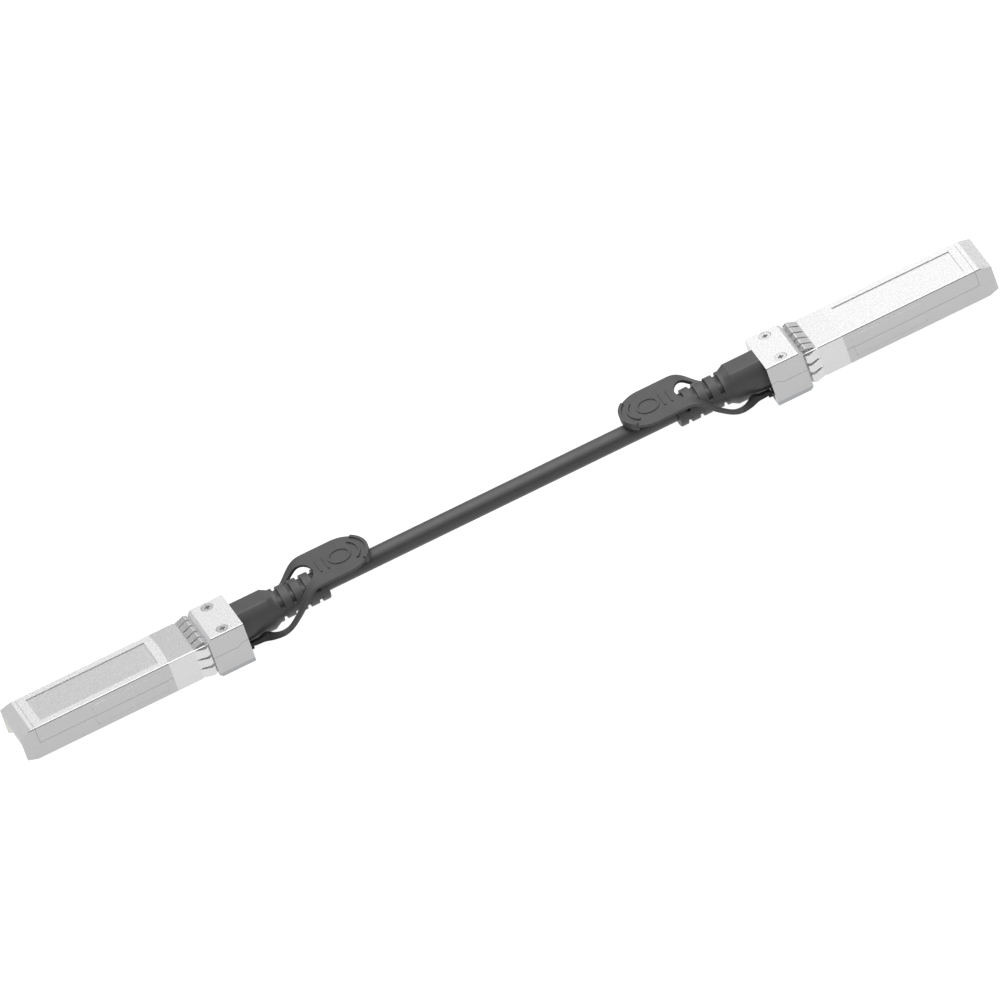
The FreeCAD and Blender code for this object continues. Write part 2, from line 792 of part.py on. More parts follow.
def eeprom_chip():
    """Identification memory: a moulded body with four gull-wing leads on each side."""
    x = card_front_x - chip_setback
    base = card_top_z + chip_standoff
    top = card_top_z + chip_height
    solids = [centred_box(x - chip_length / 2, x + chip_length / 2, chip_width, base, top)]
    lead_z = base + (chip_height - chip_standoff) / 2
    for index in range(round(lead_count)):
        lead_x = x + (index - (lead_count - 1) / 2) * lead_pitch
        for side in (-1, 1):
            root = side * (chip_width / 2 - lead_thickness)
            knee = side * (chip_width / 2 + lead_reach / 2)
            toe = side * (chip_width / 2 + lead_reach)
            left = lead_x - lead_width / 2
            right = lead_x + lead_width / 2
            inner_knee = knee - side * lead_thickness
            solids.append(box(left, right, min(root, knee), max(root, knee), lead_z, lead_z + lead_thickness))
            solids.append(box(left, right, min(inner_knee, knee), max(inner_knee, knee), card_top_z,
                              lead_z + lead_thickness))
            solids.append(box(left, right, min(inner_knee, toe), max(inner_knee, toe), card_top_z,
                              card_top_z + lead_thickness))
    return single(fuse_all(solids))


def chip_capacitors():
    """A row of small ceramic capacitors on the card."""
    length, width, height = capacitor_size
    x = card_front_x - capacitor_setback
    parts = []
    for index in range(round(capacitor_count)):
        y = (index - (capacitor_count - 1) / 2) * capacitor_pitch
        parts.append(box(x - length / 2, x + length / 2, y - width / 2, y + width / 2,
                         card_top_z, card_top_z + height))
    return Part.makeCompound(parts)


def pair_end_x():
    """Where the insulated pairs end on the card."""
    return card_rear_x + pair_on_card


def twinax_pairs():
    """The two shielded pairs, from the end of the jacket down onto the card."""
    low_z = card_top_z + hold_down_gap + pair_height / 2
    run = card_rear_x - hold_down_gap - jacket_end_x
    pairs = []
    for side in (-1, 1):
        sections = []
        for step in range(9):
            share = step / 8
            blend = (1 - math.cos(math.pi * share)) / 2
            y = side * (pair_spacing_at_cable + blend * (pair_spacing_at_card - pair_spacing_at_cable)) / 2
            z = axis_z + blend * (low_z - axis_z)
            sections.append(rounded_section(jacket_end_x + share * run, pair_width, pair_height,
                                            pair_corner, z, y))
        bend = Part.makeLoft(sections, True, False)
        level = Part.Face(sections[-1]).extrude(V(pair_end_x() - jacket_end_x - run, 0, 0))
        pairs.append(single(fuse_all([bend, level])))
    return Part.makeCompound(pairs)


def wire_places():
    """Across the card, the four conductors' middles."""
    return [side * pair_spacing_at_card / 2 + offset * wire_spacing / 2
            for side in (-1, 1) for offset in (-1, 1)]


def wire_ends():
    """Bare conductors from the pairs down to the solder pads."""
    start_z = card_top_z + hold_down_gap + pair_height / 2
    end_z = card_top_z + plating + wire_radius + wire_rise
    start_x = pair_end_x() + hold_down_gap
    wires = []
    for y in wire_places():
        along = V(wire_length, 0, end_z - start_z)
        wires.append(Part.makeCylinder(wire_radius, along.Length, V(start_x, y, start_z), along))
    return Part.makeCompound(wires)


def solder_pads():
    """Pads that the conductors are soldered to."""
    front = pair_end_x() + hold_down_gap + wire_length + plating
    return Part.makeCompound([
        box(front - solder_pad_length, front, y - solder_pad_width / 2, y + solder_pad_width / 2,
            card_top_z, card_top_z + plating)
        for y in wire_places()])


def cable_jacket():
    """The cable itself, straight, from inside one head to inside the other."""
    return cylinder_x(cable_radius, -jacket_end_x, jacket_end_x)


def cable_braid():
    """End of the braid, folded back over the jacket."""
    return cylinder_x(ferrule_inner, ferrule_rear_x, jacket_end_x).cut(
        cylinder_x(cable_radius, ferrule_rear_x, jacket_end_x))


def crimp_ferrule():
    """Sleeve that clamps the braid and sits in the saddles of both shells."""
    end_x = ferrule_rear_x + ferrule_length
    sleeve = cylinder_x(ferrule_outer, ferrule_rear_x, end_x)
    return sleeve.cut(cylinder_x(ferrule_inner, ferrule_rear_x, end_x))


# ---- Boot ---------------------------------------------------------------------------------------

def barrel_section():
    """Block's section about the cable's axis: edges as start, middle and end (y, z), all the way round.

    Top and underside are flat, both sides bulge, and a small round joins each of them to the next.
    """
    half_width = block_width / 2
    top = block_height / 2
    bulge = half_width - block_flat / 2
    side_radius = (bulge ** 2 + top ** 2) / (2 * bulge)
    side_y = half_width - side_radius
    round_z = top - block_edge
    flat_y = side_y + math.sqrt((side_radius - block_edge) ** 2 - round_z ** 2)
    lean = math.atan2(round_z, flat_y - side_y)
    join_y = side_y + side_radius * math.cos(lean)
    join_z = side_radius * math.sin(lean)
    crown = (lean + math.pi / 2) / 2
    crown_y = flat_y + block_edge * math.cos(crown)
    crown_z = round_z + block_edge * math.sin(crown)
    return [
        ((join_y, -join_z), (half_width, 0), (join_y, join_z)),
        ((join_y, join_z), (crown_y, crown_z), (flat_y, top)),
        ((flat_y, top), (0, top), (-flat_y, top)),
        ((-flat_y, top), (-crown_y, crown_z), (-join_y, join_z)),
        ((-join_y, join_z), (-half_width, 0), (-join_y, -join_z)),
        ((-join_y, -join_z), (-crown_y, -crown_z), (-flat_y, -top)),
        ((-flat_y, -top), (0, -top), (flat_y, -top)),
        ((flat_y, -top), (crown_y, -crown_z), (join_y, -join_z)),
    ]


def on_collar(point):
    """Where the collar's circle lies in a point's direction."""
    share = collar_diameter / 2 / math.hypot(*point)
    return tuple(share * value for value in point)


def section_wire(x, edges):
    """Closed wire in the plane at x from edges about the cable's axis; level edges are straight."""
    shapes = []
    for edge in edges:
        start, middle, end = [V(x, y, axis_z + z) for y, z in edge]
        if start.z == middle.z == end.z:
            shapes.append(Part.LineSegment(start, end).toShape())
        else:
            shapes.append(Part.Arc(start, middle, end).toShape())
    return Part.Wire(shapes)


def strain_boot():
    """Moulded boot: a block at the head, a taper, a collar and ribs that let it flex."""
    block_rear_x = head_rear_x - block_length
    taper_rear_x = block_rear_x - block_taper
    section = barrel_section()
    block = Part.Face(section_wire(head_rear_x, section)).extrude(V(block_rear_x - head_rear_x, 0, 0))
    taper = Part.makeLoft([
        section_wire(block_rear_x, section),
        section_wire(taper_rear_x, [[on_collar(point) for point in edge] for edge in section]),
    ], True, True)
    first_x = head_rear_x - first_groove
    collar = cylinder_x(collar_diameter / 2, first_x, taper_rear_x + touch)
    ribbed = cylinder_x(rib_diameter / 2, boot_end_x, first_x + touch)
    end_edges = [edge for edge in ribbed.Edges if edge.BoundBox.XMax < boot_end_x + touch]
    ribbed = ribbed.makeFillet(boot_rear_rounding, end_edges)
    neck_end_x = head_rear_x + rear_wall + neck_gap
    neck = rounded_bar(head_rear_x - touch, neck_end_x + touch, neck_size, neck_size, neck_corner)
    flange = rounded_bar(neck_end_x, neck_end_x + flange_thickness, flange_width, flange_height,
                         flange_corner)
    boot = fuse_all([block, taper, collar, ribbed, neck, flange])
    for index in range(round(groove_count)):
        for tool in groove_tools(first_x - index * groove_pitch):
            boot = boot.cut(tool)
    boot = boot.cut(cylinder_x(cable_radius, boot_end_x - 1, head_rear_x + 2 * rear_wall + flange_thickness))
    return single(boot)


def groove_tools(x):
    """Two slots across the boot, above and below the cable, that leave a core and a web at each side."""
    start = x - groove_width / 2
    end = x + groove_width / 2
    core = rounded_bar(start - 1, end + 1, groove_core, groove_core, groove_core_corner)
    upper = centred_box(start, end, far, axis_z + groove_web / 2, far).cut(core)
    lower = centred_box(start, end, far, -far, axis_z - groove_web / 2).cut(core)
    return [upper, lower]


# ---- Latch release ------------------------------------------------------------------------------

def latch_slider():
    """Flat sheet slider: cross plate with spring windows, two tines and two rear tongues."""
    front_x = window_front_x + slider_shoulder
    rear_x = head_rear_x + rear_wall
    plate = centred_box(rear_x, front_x, slider_width, slider_z, slider_top_z)
    pieces = [plate]
    tongue_y = tongue_outer / 2 - tongue_width
    tine_y = boss_width / 2 + tine_gap
    hump_front_x = tine_tip_x
    hump_rear_x = tine_tip_x - tine_hump_length
    hump = side_profile([
        (hump_rear_x, slider_z),
        (hump_rear_x + tine_hump_ramp, slider_z - tine_hump_depth),
        (hump_front_x - tine_hump_ramp, slider_z - tine_hump_depth),
        (hump_front_x, slider_z),
        (hump_front_x, slider_top_z),
        (hump_rear_x, slider_top_z),
    ], tine_width)
    for side in (-1, 1):
        y0, y1 = sorted((side * tine_y, side * (tine_y + tine_width)))
        pieces.append(box(front_x - touch, tine_tip_x, y0, y1, slider_z, slider_top_z))
        side_hump = hump.copy()
        side_hump.translate(V(0, (y0 + y1) / 2, 0))
        pieces.append(side_hump)
        y0, y1 = sorted((side * tongue_y, side * (tongue_y + tongue_width)))
        pieces.append(box(head_rear_x - tongue_reach, rear_x + touch, y0, y1, slider_z, slider_top_z))
    slider = fuse_all(pieces)
    half = spring_diameter / 2 + slider_side_gap
    for side in (-1, 1):
        y = side * spring_spacing / 2
        slider = slider.cut(box(window_rear_x, window_front_x, y - half, y + half, 0, far))
    return single(slider)


def return_springs():
    """Two compression springs between the base's posts and the front of the slider's windows."""
    springs = []
    radius = (spring_diameter - spring_wire) / 2
    height = spring_length - spring_wire - 2 * slider_gap
    for side in (-1, 1):
        helix = Part.makeHelix(height / spring_coils, height, radius)
        profile = Part.Wire(Part.makeCircle(spring_wire / 2, V(radius, 0, 0), V(0, 1, 0)))
        coil = Part.Wire(helix).makePipeShell([profile], True, True)
        coil = coil.rotate(V(0, 0, 0), V(0, 1, 0), 90)
        coil.translate(V(spring_rear_x + slider_gap + spring_wire / 2, side * spring_spacing / 2, spring_z))
        springs.append(single(coil))
    return Part.makeCompound(springs)


# ---- Pull tab -----------------------------------------------------------------------------------

def arm_stations():
    """Middle of the arm's section along the tab: x, z, inner y and outer y, thickness."""
    edge = tab_width / 2
    start_x = tab_hole_x - arm_notch_reach
    notch = tab_hole_diameter / 2
    plate_z = tab_z + tab_thickness / 2
    stations = [(start_x + ahead, plate_z - below, notch + past, edge, thickness)
                for ahead, below, past, thickness in arm_from_plate]
    stations += [(head_rear_x - behind, axis_z - below, inner, edge - inset, thickness)
                 for behind, below, inner, inset, thickness in arm_beside_boot]
    stations.append((lug_rear_x + touch, lug_top_z - arm_end_thickness / 2, lug_inner_y,
                     lug_outer / 2, arm_end_thickness))
    return stations


def arm():
    """One arm of the tab: a strap that leaves the plate, drops beside the boot and runs to the head."""
    stations = arm_stations()
    sections = []
    for index, (x, z, inner, outer, thickness) in enumerate(stations):
        before = stations[max(index - 1, 0)]
        after = stations[min(index + 1, len(stations) - 1)]
        level_end = index in (0, len(stations) - 1)
        slope = 0.0 if level_end else math.atan2(after[1] - before[1], after[0] - before[0])
        off_x = -math.sin(slope) * thickness / 2
        off_z = math.cos(slope) * thickness / 2
        corners = [V(x + off_x, inner, z + off_z), V(x + off_x, outer, z + off_z),
                   V(x - off_x, outer, z - off_z), V(x - off_x, inner, z - off_z)]
        sections.append(Part.makePolygon(corners + corners[:1]))
    return Part.makeLoft(sections, True, False)


def pull_tab():
    """Moulded tab: plate with a rounded, rimmed end and grip ribs, two arms and two lugs."""
    edge = tab_width / 2
    plate_end_x = tab_hole_x - arm_notch_reach
    plate = fuse_all([
        cylinder_z(edge, tab_end_x, 0, tab_z, tab_top_z),
        centred_box(tab_end_x, plate_end_x, tab_width, tab_z, tab_top_z),
    ])
    plate = plate.cut(cylinder_z(tab_hole_diameter / 2, tab_hole_x, 0, 0, far))
    rim_outer = edge + rim_proud
    rim = ring_sector(rim_outer - rim_thickness, rim_outer, rim_half_angle, tab_end_x,
                      tab_z - rim_below, tab_top_z + rim_above)
    rib_top = tab_top_z + grip_rib_height
    rib_base = tab_z + tab_thickness / 2
    half = grip_rib_width / 2
    ribs = [ring_sector(grip_arc_radius - half, grip_arc_radius + half, rim_half_angle, tab_end_x,
                        rib_base, tab_top_z + grip_arc_height)]
    ring = cylinder_z(grip_ring_radius + half, tab_end_x, 0, rib_base, rib_top)
    ribs.append(ring.cut(cylinder_z(grip_ring_radius - half, tab_end_x, 0, 0, far)))
    for place in grip_bar_places:
        x = tab_end_x + place
        straight = grip_bar_length / 2 - half
        ribs.append(box(x - half, x + half, -straight, straight, rib_base, rib_top))
        ribs.append(cylinder_z(half, x, straight, rib_base, rib_top))
        ribs.append(cylinder_z(half, x, -straight, rib_base, rib_top))
    lug = box(lug_rear_x, lug_front_x, lug_inner_y, lug_outer / 2, lug_bottom_z, lug_top_z)
    upright = [edge for edge in lug.Edges
               if abs(edge.tangentAt(edge.FirstParameter).y) > 0.9 and edge.BoundBox.XMax < lug_front_x
               and edge.BoundBox.ZMax < lug_top_z]
    lug = lug.makeFillet(lug_corner, upright)
    tab = fuse_all([plate, rim] + ribs + both_sides(arm()) + both_sides(lug))
    return single(tab.cut(latch_slider()))


# ---- Export -------------------------------------------------------------------------------------

PIECES = {
    "base_shell": base_shell,
    "top_cover": top_cover,
    "emi_clip": emi_clip,
    "cover_screws": cover_screws,
    "bottom_plate": bottom_plate,
    "paddle_card": paddle_card,
    "contact_pads": contact_pads,
    "eeprom_chip": eeprom_chip,
    "chip_capacitors": chip_capacitors,
    "twinax_pairs": twinax_pairs,
    "wire_ends": wire_ends,
    "solder_pads": solder_pads,
    "cable_braid": cable_braid,
    "crimp_ferrule": crimp_ferrule,
    "strain_boot": strain_boot,
    "latch_slider": latch_slider,
    "return_springs": return_springs,
    "pull_tab": pull_tab,
}


def main():
    os.makedirs("parts", exist_ok=True)
    cable_jacket().exportStep("parts/cable_jacket.step")
    for name, build in PIECES.items():
        right = build()
        right.exportStep(f"parts/right_{name}.step")
        left = right.mirror(V(0, 0, 0), V(1, 0, 0))
        left.exportStep(f"parts/left_{name}.step")


main()
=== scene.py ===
import math

import bpy
from mathutils import Euler, Matrix, Vector


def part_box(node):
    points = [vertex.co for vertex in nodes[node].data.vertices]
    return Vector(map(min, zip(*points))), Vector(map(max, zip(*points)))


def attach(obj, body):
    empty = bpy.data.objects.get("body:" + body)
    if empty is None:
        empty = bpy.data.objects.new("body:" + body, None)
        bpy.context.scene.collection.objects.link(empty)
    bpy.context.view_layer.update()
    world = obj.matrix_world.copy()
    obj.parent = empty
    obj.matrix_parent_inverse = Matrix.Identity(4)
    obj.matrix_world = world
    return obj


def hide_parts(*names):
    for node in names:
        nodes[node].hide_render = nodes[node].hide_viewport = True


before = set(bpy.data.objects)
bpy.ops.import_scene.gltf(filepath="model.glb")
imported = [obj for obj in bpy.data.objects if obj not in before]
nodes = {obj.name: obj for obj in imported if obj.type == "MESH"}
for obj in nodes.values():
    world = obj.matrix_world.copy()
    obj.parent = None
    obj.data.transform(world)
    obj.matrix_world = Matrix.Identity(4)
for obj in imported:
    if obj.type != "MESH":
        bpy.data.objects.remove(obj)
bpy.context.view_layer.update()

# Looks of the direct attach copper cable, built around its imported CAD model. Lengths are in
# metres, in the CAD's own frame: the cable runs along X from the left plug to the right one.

scene = bpy.context.scene
MM = 0.001
SIDES = {"left": -1, "right": 1}        # the two ends, and which way along X each one points


# ---- Camera --------------------------------------------------------------------------------------

VIEW_AZIMUTH = math.radians(-9.87)      # the camera stands a little to the left of straight ahead
VIEW_ELEVATION = math.radians(35.91)
VIEW_ROLL = math.radians(-20.12)
VIEW_WIDTH = 232.99 * MM                # what the view covers across, at the cable
VIEW_CENTRE = Vector((-0.490, -2.001, 7.132)) * MM
VIEW_DEPTH = 10                         # how many times the camera's distance can be seen
LENS_MM = 1200
SENSOR_MM = 36


def make_camera():
    """A long lens, so that the view is nearly parallel."""
    data = bpy.data.cameras.new("camera")
    data.lens = LENS_MM
    data.sensor_width = SENSOR_MM
    distance = VIEW_WIDTH * LENS_MM / SENSOR_MM
    data.clip_end = VIEW_DEPTH * distance
    camera = bpy.data.objects.new("camera", data)
    aim = Euler((math.pi / 2 - VIEW_ELEVATION, 0, VIEW_AZIMUTH)).to_matrix()
    turn = aim @ Matrix.Rotation(VIEW_ROLL, 3, "Z")
    back = turn @ Vector((0, 0, 1))
    camera.matrix_world = Matrix.Translation(VIEW_CENTRE + distance * back) @ turn.to_4x4()
    scene.collection.objects.link(camera)
    scene.camera = camera


make_camera()


# ---- Cable ---------------------------------------------------------------------------------------

jacket_low, jacket_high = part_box("cable_jacket")
CABLE_RADIUS = (jacket_high.z - jacket_low.z) / 2
CABLE_Z = (jacket_high.z + jacket_low.z) / 2
CABLE_ROUTE = (-72.0 * MM, -36.0 * MM, 36.0 * MM, 72.0 * MM)
CABLE_FACETS = 12                       # facets around a quarter of the cable
CABLE_STEPS = 24                        # rings between two points of the route


def make_cable():
    """The jacket: one straight, taut run from inside one head to inside the other."""
    data = bpy.data.curves.new("cable", "CURVE")
    data.dimensions = "3D"
    data.bevel_depth = 1.0              # multiplied by each point's radius
    data.bevel_resolution = CABLE_FACETS
    data.resolution_u = CABLE_STEPS
    data.use_fill_caps = True
    spline = data.splines.new("NURBS")
    spline.points.add(len(CABLE_ROUTE) - 1)
    for point, x in zip(spline.points, CABLE_ROUTE):
        point.co = (x, 0, CABLE_Z, 1)
        point.radius = CABLE_RADIUS
    spline.order_u = 3
    spline.use_endpoint_u = True
    cable = bpy.data.objects.new("cable", data)
    scene.collection.objects.link(cable)
    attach(cable, "cable")
    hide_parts("cable_jacket")
    return cable


cable = make_cable()


# ---- Materials -----------------------------------------------------------------------------------

NOISE_LOW, NOISE_HIGH = 0.25, 0.75      # what a noise signal's values mostly lie between


class Shader:
    """A node-based material under construction around one Principled shader."""

    def __init__(self, name, **sockets):
        self.material = bpy.data.materials.new(name)
        self.material.use_nodes = True
        self.tree = self.material.node_tree
        self.principled = self.tree.nodes["Principled BSDF"]
        for socket, value in sockets.items():
            self.principled.inputs[socket.replace("_", " ")].default_value = value
        self.place = self.tree.nodes.new("ShaderNodeTexCoord").outputs["Object"]

    def link(self, source, target):
        self.tree.links.new(source, target)

    def map_range(self, source, near, far, low, high):
        """A signal that runs from low to high while the source runs from near to far."""
        node = self.tree.nodes.new("ShaderNodeMapRange")
        for socket, value in (("From Min", near), ("From Max", far),
                              ("To Min", low), ("To Max", high)):
            node.inputs[socket].default_value = value
        self.link(source, node.inputs["Value"])
        return node.outputs["Result"]

    def noise(self, grain, detail=2.0, roughness=0.5):
        """Noise whose grain is that many metres across."""
        mapping = self.tree.nodes.new("ShaderNodeMapping")
        mapping.inputs["Scale"].default_value = [1 / grain] * 3
        self.link(self.place, mapping.inputs["Vector"])
        node = self.tree.nodes.new("ShaderNodeTexNoise")
        node.inputs["Scale"].default_value = 1.0
        node.inputs["Detail"].default_value = detail
        node.inputs["Roughness"].default_value = roughness
        self.link(mapping.outputs["Vector"], node.inputs["Vector"])
        return node.outputs["Fac"]

    def outward(self, near, far):
        """A signal that runs from 0 to 1 between two distances from the cable's middle."""
        parts = self.tree.nodes.new("ShaderNodeSeparateXYZ")
        self.link(self.place, parts.inputs["Vector"])
        distance = self.tree.nodes.new("ShaderNodeMath")
        distance.operation = "ABSOLUTE"
        self.link(parts.outputs["X"], distance.inputs[0])
        return self.map_range(distance.outputs["Value"], near, far, 0.0, 1.0)

    def colour(self, source, first, last, start=0.3, stop=0.7):
        """Surface colour from first to last while the source runs from start to stop."""
        node = self.tree.nodes.new("ShaderNodeValToRGB")
        stops = zip(node.color_ramp.elements, (start, stop), (first, last))
        for element, position, shade in stops:
            element.position = position
            element.color = (*shade, 1)
        self.link(source, node.inputs["Fac"])
        self.link(node.outputs["Color"], self.principled.inputs["Base Color"])

    def roughness(self, source, low, high):
        """Surface roughness from low to high with the noise."""
        level = self.map_range(source, NOISE_LOW, NOISE_HIGH, low, high)
        self.link(level, self.principled.inputs["Roughness"])

    def bump(self, source, depth):
        """Surface relief of that depth in metres."""
        node = self.tree.nodes.new("ShaderNodeBump")
        node.inputs["Distance"].default_value = depth
        node.inputs["Strength"].default_value = 1.0
        self.link(source, node.inputs["Height"])
        self.link(node.outputs["Normal"], self.principled.inputs["Normal"])


METAL_GLOSS_PATCH = 6                   # size of the patches in a metal's gloss, in grains
METAL_GLOSS_CHANGE = 0.01               # how much rougher or smoother a patch is
MOULD_CLOUD = 4 * MM                    # size of the cloudy patches in a moulding's colour
MOULD_GLOSS_PATCH = 1.5 * MM
MOULD_SMOOTHER, MOULD_ROUGHER = 0.04, 0.05      # what the patches in its gloss take off and add
MOULD_GRAIN = 0.25 * MM                 # size of the spark-eroded grain
MOULD_GRAIN_DETAIL, MOULD_GRAIN_ROUGHNESS = 3.0, 0.6
SEAT_SHADE_FADE = 0.8 * MM                    # length over which the painted shade beside the head gives way to painted light under the clip
STRAP_SHADE_FADE = 3 * MM                     # length over which the painted shade on the tabs' straps deepens
STRAP_SHADE_X = 60 * MM                  # where the painted shade on the straps starts, towards the heads


def grey(level, tint=(1, 1, 1)):
    return tuple(level * t for t in tint)


def metal(name, dark, light, grain, rough, relief, tint=(1, 1, 1), detail=2.0):
    """Plated or bare metal: fine grain in colour and relief, faint patches in its gloss."""
    shader = Shader(name, Metallic=1.0)
    grains = shader.noise(grain, detail)
    shader.colour(grains, grey(dark, tint), grey(light, tint))
    patches = shader.noise(grain * METAL_GLOSS_PATCH, 1.0)
    shader.roughness(patches, rough - METAL_GLOSS_CHANGE, rough + METAL_GLOSS_CHANGE)
    shader.bump(grains, relief)
    return shader.material


def seat_painted_metal(name, shaded_level, lit_level):
    """The bodies' casting under the clip: painted shade beside the head, painted light under the
    fingers.
    """
    shader = Shader(name, Metallic=1.0, Roughness=0.5)
    clip_start = min(abs(corner.x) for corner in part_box("right_emi_clip"))
    seat_light = shader.outward(clip_start, clip_start + SEAT_SHADE_FADE)
    shader.colour(seat_light, grey(shaded_level), grey(lit_level), 0.0, 1.0)
    return shader.material


def moulding(name, dark, light, rough, relief, grain=MOULD_GRAIN, tint=(1, 1, 1.02)):
    """Moulded elastomer, or a dull surface like it: fine grain under a soft satin sheen."""
    shader = Shader(name, Specular_IOR_Level=0.45)
    shader.colour(shader.noise(MOULD_CLOUD), grey(dark, tint), grey(light, tint))
    shader.roughness(shader.noise(MOULD_GLOSS_PATCH), rough - MOULD_SMOOTHER,
                     rough + MOULD_ROUGHER)
    shader.bump(shader.noise(grain, MOULD_GRAIN_DETAIL, MOULD_GRAIN_ROUGHNESS), relief)
    return shader.material


def strap_shade_moulding(name, near, far, relief):
    """The tabs' elastomer, with painted shade darkening it towards the heads."""
    shader = Shader(name, Specular_IOR_Level=0.25, Roughness=0.5)
    shade = shader.outward(STRAP_SHADE_X, STRAP_SHADE_X + STRAP_SHADE_FADE)
    shader.colour(shade, grey(near), grey(far), 0.0, 1.0)
    shader.bump(shader.noise(MOULD_GRAIN, MOULD_GRAIN_DETAIL, MOULD_GRAIN_ROUGHNESS), relief)
    return shader.material


# Metals: the dark and light of the grain, its size, the roughness and the relief.
CAST_SIDE = metal("cast_side", 0.485, 0.505, 0.5 * MM, 0.5, 0.001 * MM)
# The tops: the casting's own finer grain, and a lighter tone than the sides that is painted light
# from overhead.
CAST_TOP_GRAIN_AND_LIGHT = metal("cast_top_grain_and_painted_light", 0.51, 0.75, 0.35 * MM, 0.5, 0.006 * MM, detail=3.0)
CAST_RECESS = metal("cast_recess", 0.54, 0.71, 0.35 * MM, 0.32, 0.008 * MM, detail=3.0)
# Painted reflection: a dark line along the lower half of the rounded top edges.
EDGE_DARK_REFLECTION = metal("edge_painted_dark_reflection", 0.24, 0.27, 0.5 * MM, 0.25, 0.001 * MM)
# Painted shade: the heads' rear faces beside the boots, glossier and darker than the casting
# elsewhere.
REAR_FACE_SHADE = metal("cast_rear_painted_shade", 0.34, 0.37, 0.5 * MM, 0.16, 0.001 * MM)
# Painted shade beside the heads, fading to painted light under the clip's fingers.
SEAT_SHADE_AND_LIGHT = seat_painted_metal("cast_seat_painted_shade_and_light", 0.38, 0.88)
# Painted shade: the left nose's slope, a shade darker and less grainy than the tops.
NOSE_SLOPE_SHADE = metal("nose_slope_painted_shade", 0.48, 0.56, 0.35 * MM, 0.5, 0.005 * MM, detail=3.0)
# Painted light: the noses' inner walls, lighter and a little warmer than the casting outside.
NOSE_INSIDE_LIT = metal("nose_inside_painted_light", 0.70, 0.74, 0.5 * MM, 0.5, 0.001 * MM, tint=(1.0, 1.0, 0.94))
# Painted shadow: the dark line below the raised side pads.
PAD_SHADOW_LINE = metal("pad_shadow_line", 0.2, 0.24, 0.5 * MM, 0.5, 0.001 * MM)
SPRING_SHEET = metal("spring_sheet", 0.565, 0.60, 0.35 * MM, 0.3, 0.001 * MM)
# The clip's tops: the steel's own finer grain, and a slightly lighter tone that is painted light
# from overhead.
SPRING_TOP_GRAIN_AND_LIGHT = metal("spring_top_grain_and_painted_light", 0.51, 0.71, 0.35 * MM, 0.3, 0.002 * MM, detail=3.0)
# Painted light: the side fingers' ramps, a little lighter than the rest of the clip.
SPRING_RAMP_LIT = metal("spring_ramp_painted_light", 0.60, 0.635, 0.35 * MM, 0.3, 0.001 * MM)
SCREW_STEEL = metal("screw_steel", 0.48, 0.6, 0.12 * MM, 0.3, 0.004 * MM)
PLATE_STEEL = metal("plate_steel", 0.34, 0.4, 0.25 * MM, 0.38, 0.003 * MM, tint=(0.97, 1.0, 1.03))
FERRULE = metal("ferrule_metal", 0.6, 0.72, 0.2 * MM, 0.3, 0.003 * MM, tint=(1.0, 0.9, 0.68))
FOIL = metal("shield_foil", 0.6, 0.8, 0.5 * MM, 0.28, 0.02 * MM)
WIRE = metal("tinned_wire", 0.6, 0.75, 0.1 * MM, 0.3, 0.003 * MM, tint=(1.0, 0.98, 0.94))
GOLD = metal("gold_plating", 0.72, 0.85, 0.12 * MM, 0.22, 0.002 * MM, tint=(1.0, 0.76, 0.34))
SPRING_WIRE = metal("spring_wire", 0.5, 0.6, 0.1 * MM, 0.25, 0.002 * MM)
# Mouldings, and casting faces painted lighter with the same dull look: dark and light clouds,
# roughness and relief.
# Painted light: the heads' front faces, which lie in the fingers' shade, given a light dull grey.
FRONT_FACE_LIGHT = moulding("cast_front_painted_light", 0.48, 0.54, 0.5, 0.001 * MM)
# Painted highlight: the side pads' narrow upper edges and ends, near-white.
PAD_EDGE_HIGHLIGHT = moulding("pad_edge_painted_highlight", 0.80, 0.86, 0.5, 0.001 * MM)
BOOT = moulding("boot_moulding", 0.042, 0.048, 0.46, 0.003 * MM)
TAB = moulding("tab_moulding", 0.046, 0.052, 0.5, 0.004 * MM)
JACKET = moulding("cable_jacket", 0.039, 0.045, 0.38, 0.002 * MM, grain=0.5 * MM)
CHIP = moulding("chip_moulding", 0.02, 0.028, 0.5, 0.004 * MM)
CERAMIC = moulding("ceramic", 0.25, 0.32, 0.45, 0.002 * MM, tint=(1.0, 0.78, 0.55))
BOARD = moulding("circuit_board", 0.10, 0.13, 0.3, 0.002 * MM, tint=(0.25, 1.0, 0.45))
# Painted shade: the straps darken towards the heads, where they lie under the boots.
STRAP_SHADE = strap_shade_moulding("strap_painted_shade", 0.049, 0.012, 0.004 * MM)

NODE_MATERIALS = {
    "base_shell": CAST_SIDE,
    "top_cover": CAST_SIDE,
    "emi_clip": SPRING_SHEET,
    "cover_screws": SCREW_STEEL,
    "bottom_plate": PLATE_STEEL,
    "paddle_card": BOARD,
    "contact_pads": GOLD,
    "solder_pads": GOLD,
    "eeprom_chip": CHIP,
    "chip_capacitors": CERAMIC,
    "twinax_pairs": FOIL,
    "wire_ends": WIRE,
    "cable_braid": WIRE,
    "crimp_ferrule": FERRULE,
    "strain_boot": BOOT,
    "latch_slider": SPRING_SHEET,
    "return_springs": SPRING_WIRE,
    "pull_tab": TAB,
}


def dress(node, material):
    """Give a CAD node its material."""
    node.data.materials.clear()
    node.data.materials.append(material)


for side in SIDES:
    for name, material in NODE_MATERIALS.items():
        dress(nodes[f"{side}_{name}"], material)
dress(nodes["cable_jacket"], JACKET)
cable.data.materials.append(JACKET)


# ---- Faces with painted light and shade, and a few with a finish of their own --------------------

